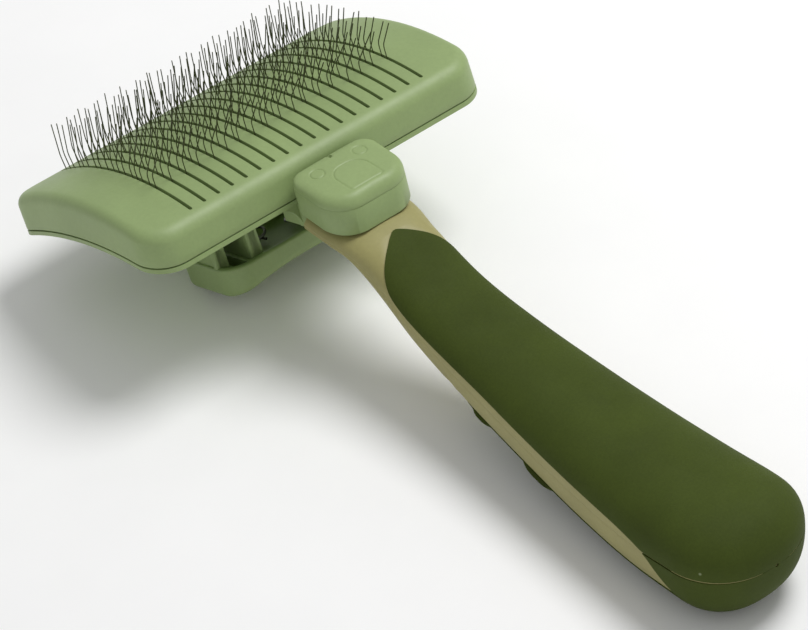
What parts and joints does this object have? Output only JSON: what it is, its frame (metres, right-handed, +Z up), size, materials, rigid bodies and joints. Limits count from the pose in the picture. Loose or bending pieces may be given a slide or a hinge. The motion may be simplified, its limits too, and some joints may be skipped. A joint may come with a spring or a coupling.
{
  "type": "slicker brush",
  "caption": "Self-cleaning pet slicker brush: bent wire pins in an arched head, a slotted cover that a spring-loaded push pad lifts to strip hair, and a padded handle.",
  "frame": {"origin": "on the resting plane, under the middle of the brush's bounding box", "axes": "+Z up from the resting plane with the pins up, +Y from the butt of the handle towards the head, +X across the head"},
  "size_m": [0.1078, 0.2312, 0.0598],
  "materials": {
    "sage_plastic": "satin moulded plastic",
    "tan_plastic": "satin moulded plastic",
    "grip_rubber": "matt over-moulded rubber",
    "cushion_rubber": "matt rubber",
    "pin_steel": "dull drawn steel wire",
    "screw_steel": "zinc plated steel",
    "spring_steel": "bright spring steel"
  },
  "bodies": {
    "handle": {"head_frame": "sage_plastic", "pin_cushion": "cushion_rubber", "handle_front_shell": "tan_plastic", "handle_back_shell": "tan_plastic", "front_grip": "grip_rubber", "back_grip": "grip_rubber", "neck_cap": "sage_plastic", "handle_screws": "screw_steel", "return_springs": "spring_steel", "pin_row_01": "pin_steel", "pin_row_02": "pin_steel", "pin_row_03": "pin_steel", "pin_row_04": "pin_steel", "pin_row_05": "pin_steel", "pin_row_06": "pin_steel", "pin_row_07": "pin_steel", "pin_row_08": "pin_steel", "pin_row_09": "pin_steel", "pin_row_10": "pin_steel", "pin_row_11": "pin_steel", "pin_row_12": "pin_steel", "pin_row_13": "pin_steel", "pin_row_14": "pin_steel", "pin_row_15": "pin_steel", "pin_row_16": "pin_steel", "pin_row_17": "pin_steel", "pin_row_18": "pin_steel"},
    "stripper": {"face_cover": "sage_plastic", "push_pad": "sage_plastic", "pad_screws": "screw_steel"}
  },
  "joints": [
    {"name": "cover_slide", "type": "slide", "parent": "handle", "child": "stripper", "axis": [0, 0.3338, 0.9426], "range_m": [0, 0.011], "stiffness_N_per_m": 400, "springref_m": -0.012, "deforming": ["return_springs"]}
  ]
}
